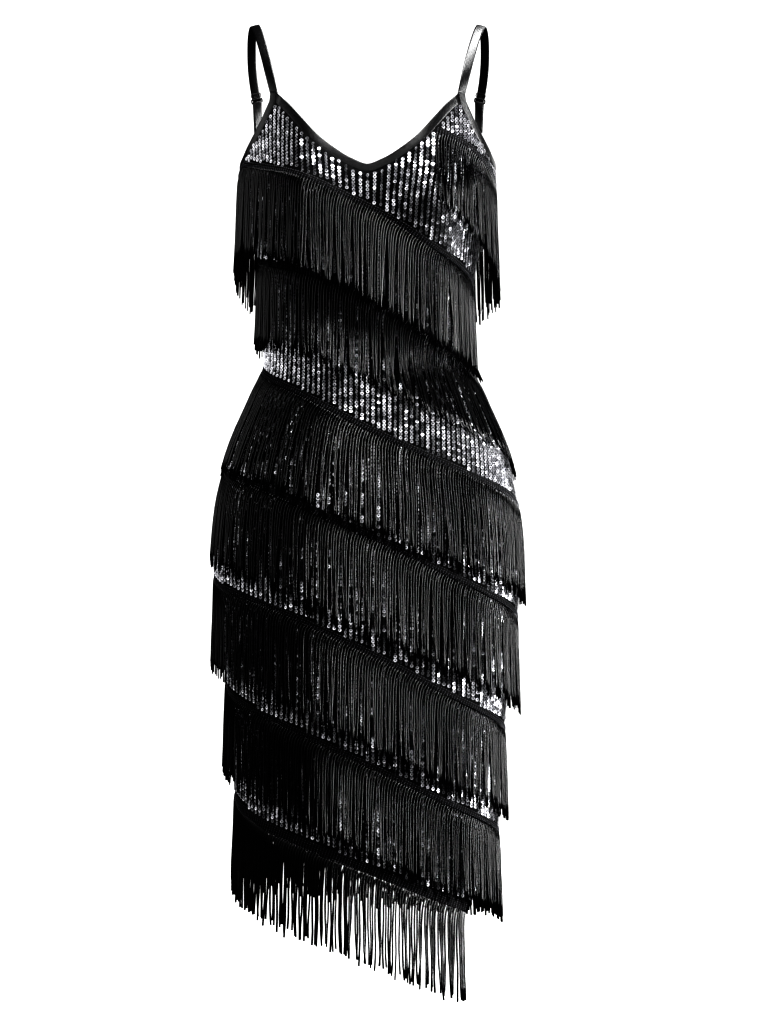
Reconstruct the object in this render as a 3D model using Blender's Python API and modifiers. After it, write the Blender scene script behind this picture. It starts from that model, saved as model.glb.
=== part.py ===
"""Flapper dress, worn: sequinned mesh panels, bound edges, ring-and-slider straps and slanted fringe tiers.

Sizes are in millimetres and become metres when a mesh is made. The front faces -Y, +X is the side on
the right of someone who faces the dress, and the origin lies under the crests of the two straps.
A place on the cloth is a share (-1 at the left side seam, 0 at the centre, 1 at the right side seam)
and a height.
"""

import math
from collections import namedtuple

import bpy
import numpy as np

MM = 0.001

# The worn form at each level. A squareness of 2 is an ellipse, and more has fuller corners.
Section = namedtuple("Section", "height half_width front_depth back_depth front_squareness back_squareness")
SECTIONS = (
    Section(-60, 146, 98, 100, 2.3, 3.2),
    Section(-100, 146, 104, 100, 2.3, 3.2),
    Section(-160, 146, 108, 98, 2.3, 2.9),
    Section(-200, 143.5, 112, 96, 2.3, 2.6),
    Section(-255, 125.5, 106, 91, 2.25, 2.4),
    Section(-320, 117.5, 92, 87, 2.2, 2.2),
    Section(-382, 117, 87, 88, 2.2, 2.2),
    Section(-425, 132.5, 94, 95, 2.2, 2.2),
    Section(-470, 151, 104, 106, 2.25, 2.25),
    Section(-500, 160.5, 108, 115, 2.3, 2.3),
    Section(-550, 170.5, 111, 125, 2.3, 2.3),
    Section(-610, 174, 112, 130, 2.3, 2.3),
    Section(-672, 169, 112, 126, 2.3, 2.3),
    Section(-740, 160.5, 112, 118, 2.3, 2.3),
    Section(-800, 154.5, 110, 114, 2.3, 2.3),
    Section(-880, 149, 108, 112, 2.3, 2.3),
    Section(-960, 146, 108, 110, 2.3, 2.3),
    Section(-1020, 145, 108, 110, 2.3, 2.3),
)
HIP_HEIGHT = -610
BUST = {"across": 76, "height": -203, "fullness": 24, "half_span": 40, "reach_up": 62, "reach_down": 70}

# Upper edge of each panel from its centre to its side seam, with the corner that meets the strap.
Edge = namedtuple("Edge", "across height")
UPPER_EDGES = {
    "front": (
        Edge(0, -177), Edge(22.5, -169), Edge(42.5, -156.5), Edge(62, -141), Edge(80, -121),
        Edge(93, -106), Edge(102.5, -97), Edge(115.5, -122), Edge(125.5, -138), Edge(133.5, -150),
        Edge(140.5, -161), Edge(146, -172),
    ),
    "back": (
        Edge(0, -194), Edge(35, -190), Edge(65, -176), Edge(90, -156), Edge(108, -138),
        Edge(124, -124), Edge(132, -138), Edge(139, -153), Edge(146, -172),
    ),
}
CORNER_ROWS = {"front": 6, "back": 5}

# The front's free lower edge at the right: from its corner up to the side seam.
SLIT = {"corner_across": 109, "corner_height": -1008, "seam_height": -923}
HEM_BELOW_STRIP = 11

# Upper edge of each strip at the left seam, half way, the centre, half way and the right seam, the
# fringe's length from there, how far its tips stand off, and how many bends a lock has.
Tier = namedtuple("Tier", "name left left_half centre right_half right drop lift bends")
FRONT_TIERS = (
    Tier("fringe_front_a", -182, -150, -110, -134, -192, 90, 3.0, 2),
    Tier("fringe_front_1", -151, -171, -211, -259, -299, 110, 4.0, 2),
    Tier("fringe_front_2", -262, -279, -306, -353, -402, 101, 2.5, 3),
    Tier("fringe_front_3", -386, -413, -456, -504, -549, 110, 2.5, 3),
    Tier("fringe_front_4", -496, -526, -574, -629, -676, 107, 2.5, 3),
    Tier("fringe_front_5", -620, -653, -703, -758, -802, 102, 2.5, 2),
    Tier("fringe_front_6", -739, -781, -828, -876, -917, 98, 3.0, 2),
    Tier("fringe_front_7", -862, -904, -941, -981, -1014, 109, 3.0, 2),
)
STATIONS = (-1, -0.5, 0, 0.5, 1)
SHORT_TIER_START = 0.4

# Round the back: how far each tier sags at the centre, how much lower it starts at the left seam, and
# the fringe's length.
BackTier = namedtuple("BackTier", "sag left_step drop")
BACK_TIERS = (
    BackTier(70, 27, 110), BackTier(25, 0, 101), BackTier(25, 0, 110), BackTier(24, 0, 107),
    BackTier(22, 0, 100), BackTier(22, 0, 98), BackTier(28, 0, 98),
)
STRIP_HEIGHT, HEM_STRIP_HEIGHT = 7, 10.5
ROWS_BETWEEN = (3, 1, 2, 2, 1, 1, 1)
LEAST_ROW = 2
LOCKS, LOCK_SHARE, UNEVEN = 14, 0.78, 0.025

CLOTH, TAPE, FRINGE, STRAP = 1.5, 2.2, 1.6, 1.4
SEAM_GAP, TAPE_GAP, LAY_GAP = 0.3, 0.45, 0.5
TAPE_WIDTH, STRAP_WIDTH = 8.4, 10

# Past each corner the armhole tape runs on: how far, and which way on the right side.
CORNER_RISE = {"front": 12.5, "back": 12.6}
CORNER_WAY = {"front": (-0.35, 0.1, 0.93), "back": (0.02, -0.12, 0.99)}

# Middle line of the right strap from the front tape, over the shoulder, to above the slider.
STRAP_ROUTE = (
    (109, -73, -67), (114, -61, -46), (120, -44, -24), (126, -22, -6), (130, 0, 0.7),
    (133, 20, -6), (134.5, 39, -20), (134.5, 53, -40), (133, 60, -56), (131, 65, -69),
)
STRAP_FACING = {"front": (0.94, 0.34, 0), "crest": (0.96, 0, -0.27)}
STRAP_TURN = 0.35  # how far its back end turns with the wearer's back
RING = {"half_width": 6.3, "half_height": 2.9, "corner": 1.4, "wire": 0.8, "below_route": 4.0}
SLIDER = {"width": 12.4, "height": 5.6, "thickness": 1.4, "window": (10.6, 1.3), "window_rise": 1.25}
TAIL_GAP, TAB_NECK, BEND_STEPS = 0.5, 8, 7

COLOURS = {
    "mesh": ((0.012, 0.012, 0.013, 1), 0.45, 0.0),
    "satin": ((0.014, 0.014, 0.015, 1), 0.35, 0.0),
    "fringe": ((0.008, 0.008, 0.009, 1), 0.4, 0.0),
    "metal": ((0.03, 0.03, 0.032, 1), 0.3, 0.6),
}


def unit(way):
    return np.array(way, float) / np.linalg.norm(way)


def hermite(t, step, start, end, start_slope, end_slope):
    return (
        (2 * t**3 - 3 * t**2 + 1) * start
        + (t**3 - 2 * t**2 + t) * step * start_slope
        + (3 * t**2 - 2 * t**3) * end
        + (t**3 - t**2) * step * end_slope
    )


def through(rows, at):
    """Smooth monotone curve through rows of (position, value, ...), read at a position."""
    table = np.array(sorted(rows), float)
    place, values = table[:, 0], table[:, 1:]
    at = min(max(at, place[0]), place[-1])
    low = min(max(int(np.searchsorted(place, at)) - 1, 0), len(place) - 2)
    slopes = np.diff(values, axis=0) / np.diff(place)[:, None]

    def slope(row):
        if row in (0, len(place) - 1):
            return slopes[min(row, len(slopes) - 1)]
        before, after = slopes[row - 1], slopes[row]
        turning = before * after <= 0
        total = np.where(turning, 1.0, before + after)
        return np.where(turning, 0.0, 2 * before * after / total)

    step = place[low + 1] - place[low]
    return hermite((at - place[low]) / step, step, values[low], values[low + 1], slope(low), slope(low + 1))


def form_point(side, angle, height):
    """A point of the worn form. The angle runs from -90 degrees at the left seam to 90 at the right one."""
    section = Section(height, *through(SECTIONS, height))
    front = side == "front"
    depth = section.front_depth if front else section.back_depth
    power = 2 / (section.front_squareness if front else section.back_squareness)
    across = section.half_width * math.copysign(abs(math.sin(angle)) ** power, angle)
    out = depth * max(math.cos(angle), 0) ** power
    if not front:
        return np.array([across, out, height])
    reach = BUST["reach_up"] if height > BUST["height"] else BUST["reach_down"]
    beside = (abs(across) - BUST["across"]) / BUST["half_span"]
    above = (height - BUST["height"]) / reach
    return np.array([across, -out - BUST["fullness"] * math.exp(-(beside**2) - above**2), height])


def share_table():
    """Angles and the share of the seam-to-seam length at the hip that each one reaches."""
    angles = np.linspace(-math.pi / 2, math.pi / 2, 721)
    points = np.array([form_point("front", angle, HIP_HEIGHT) for angle in angles])
    length = np.concatenate([[0], np.cumsum(np.linalg.norm(np.diff(points, axis=0), axis=1))])
    return angles, 2 * length / length[-1] - 1


ANGLES, SHARES = share_table()


def angle_at(share):
    return float(np.interp(share, SHARES, ANGLES))


def share_at(side, across, height):
    section = Section(height, *through(SECTIONS, height))
    square = section.front_squareness if side == "front" else section.back_squareness
    angle = math.asin(min(abs(across) / section.half_width, 1) ** (square / 2))
    return math.copysign(float(np.interp(angle, ANGLES, SHARES)), across)


def edge_line(side):
    """(share, height) rows of a panel's upper edge from seam to seam."""
    half = [(share_at(side, *row), row.height) for row in UPPER_EDGES[side][:-1]]
    half.append((1.0, UPPER_EDGES[side][-1].height))
    return [(-share, height) for share, height in half[:0:-1]] + half


def strip_height(tier, share):
    return float(through(list(zip(STATIONS, tier[1:6])), share)[0])


def back_tiers():
    """Each back tier runs from the left end of its front tier to the right end of the one before."""
    made = []
    for tier, before, back in zip(FRONT_TIERS[1:], FRONT_TIERS, BACK_TIERS):
        left, right = tier.left - back.left_step, before.right
        heights = [
            left + (right - left) * (share + 1) / 2 - back.sag * (1 - share**2)
            for share in STATIONS
        ]
        name = tier.name.replace("front", "back")
        made.append(Tier(name, *heights, back.drop, tier.lift, tier.bends))
    return made


def seam_share(side):
    """How far a panel reaches, so that it stops clear of the other one at the side seam."""
    share = 1.0
    while abs(form_point(side, angle_at(share), HIP_HEIGHT)[1]) < SEAM_GAP:
        share -= 0.0001
    return share


def lock_shares(side):
    """The seam, both edges of each lock, and the other seam."""
    end = seam_share(side)
    margin = (1 - LOCK_SHARE) / 2
    inner = [-1 + 2 * (n + part) / LOCKS for n in range(LOCKS) for part in (margin, 1 - margin)]
    return [-end] + inner + [end]


def lower_edge(side, share, hem_tier):
    """Height of a panel's lower edge. The front's right end slants up from its corner to the seam."""
    hem = strip_height(hem_tier, share) - HEM_BELOW_STRIP
    corner = share_at("front", SLIT["corner_across"], SLIT["corner_height"])
    if side == "back" or share <= corner:
        return hem
    across = form_point("front", angle_at(share), SLIT["corner_height"])[0]
    seam = form_point("front", math.pi / 2, SLIT["corner_height"])[0]
    rise = (across - SLIT["corner_across"]) / (seam - SLIT["corner_across"])
    corner_height = strip_height(hem_tier, corner) - HEM_BELOW_STRIP
    return corner_height + rise * (SLIT["seam_height"] - corner_height)


class Wall:
    """One panel's outer points, row by row from its upper edge to its hem, and their outward normals."""

    def __init__(self, side, tiers):
        self.side = side
        self.corner = share_at(side, *UPPER_EDGES[side][CORNER_ROWS[side]])
        extra = [-self.corner, self.corner]
        if side == "front":
            self.slit = share_at("front", SLIT["corner_across"], SLIT["corner_height"])
            extra.append(self.slit)
        self.shares = np.array(sorted(lock_shares(side) + extra))
        columns = [self.column_points(share, tiers) for share in self.shares]
        self.points = np.array(columns).transpose(1, 0, 2)
        across, down = np.gradient(self.points, axis=1), np.gradient(self.points, axis=0)
        normals = np.cross(across, down) if side == "back" else np.cross(down, across)
        self.normals = normals / np.linalg.norm(normals, axis=2)[:, :, None]

    def column_points(self, share, tiers):
        """One column's points: at both edges of each strip, with rows in between."""
        top = float(np.interp(share, *zip(*edge_line(self.side))))
        levels = [top]
        for tier, between in zip(tiers, ROWS_BETWEEN):
            strip = min(strip_height(tier, share), levels[-1] - LEAST_ROW)
            levels += list(np.linspace(levels[-1], strip, between + 2)[1:]) + [strip - STRIP_HEIGHT]
        hem = lower_edge(self.side, share, tiers[-1])
        if hem > levels[-2] - LEAST_ROW:
            levels = np.linspace(top, hem, len(levels))
        levels[-1] = hem
        return [form_point(self.side, angle_at(share), height) for height in levels]

    def column(self, share):
        return int(np.argmin(abs(self.shares - share)))

    def root(self, tier, share):
        """Height of a strip's upper edge, kept below the panel's own edge."""
        return min(strip_height(tier, share), self.points[0, self.column(share), 2] - LEAST_ROW)

    def at(self, share, height):
        """Point and normal of the panel at a column and height, held at the ends of the column."""
        column = self.column(share)
        points, normals = self.points[::-1, column], self.normals[::-1, column]
        height = min(max(height, points[0, 2]), points[-1, 2])
        point = [np.interp(height, points[:, 2], points[:, axis]) for axis in range(3)]
        return np.array(point), unit([np.interp(height, points[:, 2], normals[:, axis]) for axis in range(3)])

    def hung(self, share, root, height):
        """Where a strand from the root hangs: over the widest part of the panel between root and height."""
        levels = self.points[:, self.column(share), 2]
        passed = [root, height] + [level for level in levels if height < level < root]
        widest, normal = max(
            (self.at(share, level) for level in passed), key=lambda found: math.hypot(*found[0][:2])
        )
        return np.array([widest[0], widest[1], height]), unit([normal[0], normal[1], 0])

    def upper_edge(self, low, high):
        """Points and normals of the upper edge between two shares, both included."""
        near = 1e-9
        chosen = [n for n, share in enumerate(self.shares) if low - near <= share <= high + near]
        return self.points[0, chosen], self.normals[0, chosen]


def material_named(name):
    colour, roughness, metallic = COLOURS[name]
    material = bpy.data.materials.new(name)
    material.use_nodes = True
    shader = material.node_tree.nodes["Principled BSDF"]
    shader.inputs["Base Color"].default_value = colour
    shader.inputs["Roughness"].default_value = roughness
    shader.inputs["Metallic"].default_value = metallic
    material.diffuse_color = colour
    return material


def add_object(name, points, faces, material, thickness, outward):
    """A mesh object from points in millimetres, with a wall grown out of it, into it or both ways."""
    mesh = bpy.data.meshes.new(name)
    mesh.from_pydata([tuple(np.array(point) * MM) for point in points], [], faces)
    mesh.shade_smooth()
    mesh.materials.append(MATERIALS[material])
    made = bpy.data.objects.new(name, mesh)
    COLLECTION.objects.link(made)
    wall = made.modifiers.new("wall", "SOLIDIFY")
    wall.thickness = thickness * MM
    wall.offset = outward


def split(points, corners, flip, ridge=False):
    """Two triangles that meet on the inner diagonal, or on the outer one as a ridge."""
    a, b, c, d = corners
    reach = [math.hypot(*(np.array(points[one]) + points[other])[:2]) for one, other in ((a, c), (b, d))]
    halves = [(a, b, c), (a, c, d)] if (reach[0] > reach[1]) == ridge else [(a, b, d), (b, c, d)]
    return [half[::-1] if flip else half for half in halves]


def grid_faces(points, columns, flip=False):
    faces = []
    for first in range(len(points) - columns):
        if (first + 1) % columns:
            faces += split(points, (first, first + columns, first + columns + 1, first + 1), flip)
    return faces


def add_panel(wall):
    points = wall.points.reshape(-1, 3)
    faces = grid_faces(points, wall.points.shape[1], wall.side == "back")
    add_object(f"{wall.side}_panel", points, faces, "mesh", CLOTH, -1)


def lock_levels(tier, lock, deep):
    """(below the root, lift) of each bend of one lock, whose length differs a little from the next."""
    length = tier.drop * (1 + UNEVEN * math.sin(2.4 * lock + len(tier.name)))
    bends = np.arange(1, tier.bends + 1) / tier.bends
    return [(deep + (length - deep) * bend, tier.lift * bend) for bend in bends]


def add_tier(wall, tier, deep=STRIP_HEIGHT, first_share=-1, last_share=1):
    """A strip on the panel, with locks that hang from it clear of each other."""
    columns = [share for share in wall.shares if first_share <= share <= last_share]
    roots = [wall.root(tier, share) for share in columns]
    points, faces, placed = [], [], {}

    def place(column, level, below, lifted):
        """Index of a column's point at one level, added where it is new."""
        if (column, level) not in placed:
            share, height = columns[column], roots[column] - below
            on_strip = level < 2
            found = wall.at(share, height) if on_strip else wall.hung(share, roots[column] - deep, height)
            points.append(found[0] + found[1] * (LAY_GAP + lifted))
            placed[column, level] = len(points) - 1
        return placed[column, level]

    for n in range(len(columns) - 1):
        pitch = ((columns[n] + columns[n + 1]) / 2 + 1) / 2 * LOCKS
        levels = [(0, 0), (deep, 0)]
        if abs(pitch % 1 - 0.5) < LOCK_SHARE / 2:
            levels += lock_levels(tier, int(pitch), deep)
        for level in range(len(levels) - 1):
            ring = ((n, level), (n, level + 1), (n + 1, level + 1), (n + 1, level))
            corners = [place(column, row, *levels[row]) for column, row in ring]
            faces += split(points, corners, wall.side == "back", ridge=level > 0)
    add_object(tier.name, points, faces, "fringe", FRINGE, 1)


def add_tape(name, line, normals, ends=None):
    """A tape that carries on upward from a line of points. Each end can slant along a given way."""
    beyond = np.cross(np.gradient(line, axis=0), normals)
    beyond /= np.linalg.norm(beyond, axis=1)[:, None]
    beyond *= np.sign(beyond[len(line) // 2, 2])
    for row, way in zip((0, -1), ends or ()):
        beyond[row] = way / (way @ beyond[row])
    lower, upper = line + beyond * TAPE_GAP, line + beyond * (TAPE_GAP + TAPE_WIDTH)
    points = np.concatenate([upper, lower]) + np.tile(normals * (TAPE - CLOTH) / 2, (2, 1))
    faces = grid_faces(points, len(line))
    a, b, c = (points[corner] for corner in faces[0])
    if np.cross(b - a, c - a) @ normals[0] < 0:
        faces = [face[::-1] for face in faces]
    add_object(name, points, faces, "satin", TAPE, -1)
    return lower, upper


def add_tapes(walls):
    """The neck tapes end against the armhole tapes, which run on past both corners. Returns those ends."""
    rises, strap_ends = {}, {}
    for side, sign in (("left", -1), ("right", 1)):
        halves = {}
        for place, wall in walls.items():
            line, normals = wall.upper_edge(*sorted((sign * wall.corner, sign)))
            if sign > 0:
                line, normals = line[::-1], normals[::-1]
            way = np.array(CORNER_WAY[place]) * (sign, 1, 1)
            rise = unit(way - (way @ normals[-1]) * normals[-1])
            rises[place, sign] = rise
            on = [line[-1] + rise * CORNER_RISE[place] * part for part in (0.5, 1)]
            halves[place] = np.vstack([line, on]), np.vstack([normals, normals[-1], normals[-1]])
        line = np.vstack([halves["back"][0][:0:-1], halves["front"][0]])
        normals = np.vstack([halves["back"][1][:0:-1], halves["front"][1]])
        lower, upper = add_tape(f"armhole_binding_{side}", line, normals)
        for place, row in (("front", -1), ("back", 0)):
            middle = (lower[row] + upper[row] - normals[row] * CLOTH) / 2
            middle = middle + rises[place, sign] * 2 * SEAM_GAP
            strap_ends[place, sign] = middle, unit(upper[row] - lower[row]) * sign
    for place, name in (("front", "neckline_binding"), ("back", "back_neck_binding")):
        line, normals = walls[place].upper_edge(-walls[place].corner, walls[place].corner)
        add_tape(name, line, normals, [rises[place, -1], rises[place, 1]])
    return strap_ends


def add_ribbon(name, middle, widths, slanted_start=None):
    """A flat tape along a line of points, with its width laid along a given way at each point."""
    middle, widths = np.array(middle, float), np.array(widths, float)
    along = np.gradient(middle, axis=0)
    along /= np.linalg.norm(along, axis=1)[:, None]
    widths -= along * np.sum(along * widths, axis=1)[:, None]
    widths /= np.linalg.norm(widths, axis=1)[:, None]
    if slanted_start is not None:
        widths[0] = slanted_start
    points = np.concatenate([middle - widths * STRAP_WIDTH / 2, middle + widths * STRAP_WIDTH / 2])
    add_object(name, points, grid_faces(points, len(middle)), "satin", STRAP, 0)


def rounded(points, steps):
    """A smooth run of points through a route, with the given number of steps to each stretch."""
    places = np.concatenate([[0], np.cumsum(np.linalg.norm(np.diff(points, axis=0), axis=1))])
    slopes = np.gradient(points, places, axis=0)
    run = [
        hermite(t, places[n + 1] - places[n], points[n], points[n + 1], slopes[n], slopes[n + 1])
        for n in range(len(points) - 1)
        for t in np.arange(steps) / steps
    ]
    return np.array(run + [points[-1]])


def half_turn(centre, radius, start, end):
    """Points round half a circle, from one way off its centre, over another way, to the opposite."""
    angles = np.linspace(0, math.pi, BEND_STEPS)
    return [centre + radius * (math.cos(angle) * start + math.sin(angle) * end) for angle in angles]


def add_strap(side, sign, strap_ends):
    """Strap, slider, ring and tab of one shoulder, all laid out from the strap's own route."""
    start, start_width = strap_ends["front", sign]
    run = rounded(np.vstack([start, np.array(STRAP_ROUTE) * (sign, 1, 1)]), 2)
    down = unit(run[-1] - run[-2])
    wide = np.array([1, -STRAP_TURN * sign, 0])
    wide = unit(wide - (wide @ down) * down)
    out = np.cross(wide, down)
    out *= math.copysign(1, out[1])
    wrap = RING["wire"] + SEAM_GAP + STRAP / 2 + 0.1
    bar = run[-1] + down * RING["below_route"] - out * wrap
    # Outside the ring's upper bar, round it, and back up inside to just below the slider.
    loop = half_turn(bar, wrap, out, down)
    tail = [loop[-1] - down * (RING["below_route"] - SLIDER["height"] / 2 - TAIL_GAP)]
    facing = [np.array(STRAP_FACING[place]) * (1, sign, sign) for place in ("front", "crest")] + [wide]
    widths = [
        [np.interp(t, (0, 0.5, 1), [way[axis] for way in facing]) for axis in range(3)]
        for t in np.linspace(0, 1, len(run))
    ]
    widths += [wide] * (len(loop) + len(tail))
    add_ribbon(f"strap_{side}", list(run) + loop + tail, widths, start_width)
    add_slider(f"slider_{side}", run[-1] - out * wrap, wide, down, out)
    add_ring(f"ring_{side}", bar + down * RING["half_height"], wide, down)
    add_tab(f"strap_tab_{side}", bar + down * 2 * RING["half_height"], wide, strap_ends["back", sign], wrap)


def add_ring(name, middle, wide, down):
    """A wire ring with straight upper and lower bars."""
    curve = bpy.data.curves.new(name, "CURVE")
    curve.dimensions = "3D"
    curve.bevel_depth = RING["wire"] * MM
    curve.bevel_resolution = 1
    corner = RING["corner"]
    straight = np.array([RING["half_width"] - corner, RING["half_height"] - corner])
    points = []
    for quarter, signs in enumerate(((1, 1), (-1, 1), (-1, -1), (1, -1))):
        for step in range(4):
            angle = math.radians(90 * quarter + 30 * step)
            flat = straight * signs + corner * np.array([math.cos(angle), math.sin(angle)])
            points.append(middle + wide * flat[0] - down * flat[1])
    line = curve.splines.new("POLY")
    line.points.add(len(points) - 1)
    for point, place in zip(line.points, points):
        point.co = (*(place * MM), 1)
    line.use_cyclic_u = True
    curve.materials.append(MATERIALS["metal"])
    COLLECTION.objects.link(bpy.data.objects.new(name, curve))


def add_slider(name, middle, wide, down, out):
    """A plate with two windows, which leave two outer bars and a middle one."""
    half_width, half_height = SLIDER["width"] / 2, SLIDER["height"] / 2
    span, tall = SLIDER["window"][0] / 2, SLIDER["window"][1] / 2
    rise = SLIDER["window_rise"]
    across = (-half_width, -span, span, half_width)
    levels = (-half_height, -rise - tall, -rise + tall, rise - tall, rise + tall, half_height)
    points = [middle + wide * x + down * z for z in levels for x in across]
    windows = (5, 13)
    faces = [
        (first, first + 1, first + 5, first + 4)
        for first in range(len(points) - 4)
        if (first + 1) % 4 and first not in windows
    ]
    if np.cross(wide, down) @ out < 0:
        faces = [face[::-1] for face in faces]
    add_object(name, points, faces, "metal", SLIDER["thickness"], 0)


def face_of(width, way):
    """The way out of a tape that lies along a width and runs along a way, on its outer side."""
    face = unit(np.cross(width, way))
    return face * math.copysign(1, face[1])


def add_tab(name, bar, wide, foot_end, wrap):
    """A tape loop round the ring's lower bar, with both ends down at the back corner."""
    foot, foot_width = foot_end
    way = unit(foot - bar)
    neck, neck_width = bar + way * TAB_NECK, unit(foot_width + 2 * wide)
    near = (STRAP + SEAM_GAP) / 2 + 0.05
    neck_off, foot_off = face_of(neck_width, way) * near, face_of(foot_width, way) * near
    over = half_turn(bar, wrap, face_of(wide, way), -way)
    middle = [foot + foot_off, neck + neck_off] + over + [neck - neck_off, foot - foot_off]
    add_ribbon(name, middle, [foot_width, neck_width] + [wide] * len(over) + [neck_width, foot_width])


for leftover in list(bpy.data.objects):
    bpy.data.objects.remove(leftover)
MATERIALS = {name: material_named(name) for name in COLOURS}
COLLECTION = bpy.data.collections.new("flapper_dress")
bpy.context.scene.collection.children.link(COLLECTION)

ROUND_THE_BACK = back_tiers()
WALLS = {"front": Wall("front", FRONT_TIERS[1:]), "back": Wall("back", ROUND_THE_BACK)}
for panel_wall in WALLS.values():
    add_panel(panel_wall)
STRAP_ENDS = add_tapes(WALLS)
for strap_side, strap_sign in (("left", -1), ("right", 1)):
    add_strap(strap_side, strap_sign, STRAP_ENDS)

add_tier(WALLS["front"], FRONT_TIERS[0], first_share=SHORT_TIER_START)
for front_tier in FRONT_TIERS[1:-1]:
    add_tier(WALLS["front"], front_tier)
add_tier(WALLS["front"], FRONT_TIERS[-1], HEM_STRIP_HEIGHT, last_share=WALLS["front"].slit)
for back_tier in ROUND_THE_BACK[:-1]:
    add_tier(WALLS["back"], back_tier)
add_tier(WALLS["back"], ROUND_THE_BACK[-1], HEM_STRIP_HEIGHT)
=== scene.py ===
import math

import bpy
import numpy as np
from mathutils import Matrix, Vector


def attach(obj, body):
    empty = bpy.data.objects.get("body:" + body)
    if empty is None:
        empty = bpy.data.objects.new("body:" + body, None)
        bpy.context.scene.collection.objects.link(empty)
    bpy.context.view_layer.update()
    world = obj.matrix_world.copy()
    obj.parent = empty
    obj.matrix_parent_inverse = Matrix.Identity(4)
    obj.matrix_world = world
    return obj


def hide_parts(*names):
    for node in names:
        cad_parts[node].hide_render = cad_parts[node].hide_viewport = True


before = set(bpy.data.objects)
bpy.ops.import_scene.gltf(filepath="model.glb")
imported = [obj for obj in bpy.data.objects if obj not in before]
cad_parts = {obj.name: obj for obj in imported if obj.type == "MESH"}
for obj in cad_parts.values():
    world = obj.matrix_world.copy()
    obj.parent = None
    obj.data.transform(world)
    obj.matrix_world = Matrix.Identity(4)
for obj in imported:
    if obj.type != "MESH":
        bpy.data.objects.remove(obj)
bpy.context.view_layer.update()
bpy.ops.object.select_all(action="DESELECT")
print("frame loaded with", len(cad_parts), "nodes")

mm = 0.001

# Worn form in millimetres: height, half width, front depth, back depth, front squareness, back squareness.
form = {
    "sections": (
        (-60, 146, 98, 100, 2.3, 3.2), (-100, 146, 104, 100, 2.3, 3.2), (-160, 146, 108, 98, 2.3, 2.9),
        (-200, 143.5, 112, 96, 2.3, 2.6), (-255, 125.5, 106, 91, 2.25, 2.4), (-320, 117.5, 92, 87, 2.2, 2.2),
        (-382, 117, 87, 88, 2.2, 2.2), (-425, 132.5, 94, 95, 2.2, 2.2), (-470, 151, 104, 106, 2.25, 2.25),
        (-500, 160.5, 108, 115, 2.3, 2.3), (-550, 170.5, 111, 125, 2.3, 2.3), (-610, 174, 112, 130, 2.3, 2.3),
        (-672, 169, 112, 126, 2.3, 2.3), (-740, 160.5, 112, 118, 2.3, 2.3), (-800, 154.5, 110, 114, 2.3, 2.3),
        (-880, 149, 108, 112, 2.3, 2.3), (-960, 146, 108, 110, 2.3, 2.3), (-1020, 145, 108, 110, 2.3, 2.3),
    ),
    "hip": -610,
    "bustAcross": 76, "bustHeight": -203, "bustFullness": 24,
    "bustHalfSpan": 40, "bustUp": 62, "bustDown": 70,
}

# Upper edge of each panel, from the centre to the side seam, and which of its rows meets the strap.
upperEdge = {
    "front": ((0, -177), (22.5, -169), (42.5, -156.5), (62, -141), (80, -121), (93, -106),
              (102.5, -97), (115.5, -122), (125.5, -138), (133.5, -150), (140.5, -161), (146, -172)),
    "back": ((0, -194), (35, -190), (65, -176), (90, -156), (108, -138),
             (124, -124), (132, -138), (139, -153), (146, -172)),
}
cornerRow = {"front": 6, "back": 5}
slit = {"cornerAcross": 109, "cornerHeight": -1008, "seamHeight": -923, "hemBelowStrip": 11}

# Strip's upper edge at the left seam, half way, the centre, half way and the right seam, then the drop
# from there to the tips and how far the tips stand off the cloth.
frontTiers = (
    ("fringe_front_a", (-182, -150, -110, -134, -192), 90, 3.0),
    ("fringe_front_1", (-151, -171, -211, -259, -299), 110, 4.0),
    ("fringe_front_2", (-262, -279, -306, -353, -402), 101, 2.5),
    ("fringe_front_3", (-386, -413, -456, -504, -549), 110, 2.5),
    ("fringe_front_4", (-496, -526, -574, -629, -676), 107, 2.5),
    ("fringe_front_5", (-620, -653, -703, -758, -802), 102, 2.5),
    ("fringe_front_6", (-739, -781, -828, -876, -917), 98, 3.0),
    ("fringe_front_7", (-862, -904, -941, -981, -1014), 109, 3.0),
)
shortTier = {"start": 0.4, "longer": 42}
# Round the back: how far each tier sags, how much lower it starts at the left seam, and its drop.
backSags = ((70, 27, 110), (25, 0, 101), (25, 0, 110), (24, 0, 107), (22, 0, 100), (22, 0, 98), (28, 0, 98))
stripHeight = {"tier": 6.8, "hem": 11}
stations = (-1, -0.5, 0, 0.5, 1)
leastBelowEdge = 2


def tableOf(rows):  # places, values and monotone slopes
    table = np.array(sorted(rows), float)
    place, value = table[:, 0], table[:, 1:]
    step = np.diff(value, axis=0) / np.diff(place)[:, None]
    slope = np.vstack([step[:1], step[1:], step[-1:]])
    before, after = step[:-1], step[1:]
    turning = before * after <= 0
    total = np.where(turning, 1.0, before + after)
    slope[1:-1] = np.where(turning, 0.0, 2 * before * after / total)
    return place, value, slope


def hermite(t, step, value, slope, nextValue, nextSlope):
    return (
        (2 * t**3 - 3 * t**2 + 1) * value + (t**3 - 2 * t**2 + t) * step * slope
        + (3 * t**2 - 2 * t**3) * nextValue + (t**3 - t**2) * step * nextSlope
    )


def readTable(table, at):
    place, value, slope = table
    at = np.clip(np.asarray(at, float), place[0], place[-1])
    low = np.clip(np.searchsorted(place, at) - 1, 0, len(place) - 2)
    step = place[low + 1] - place[low]
    t = ((at - place[low]) / step)[..., None]
    return hermite(t, step[..., None], value[low], slope[low], value[low + 1], slope[low + 1])


sectionTable = tableOf(form["sections"])


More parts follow.
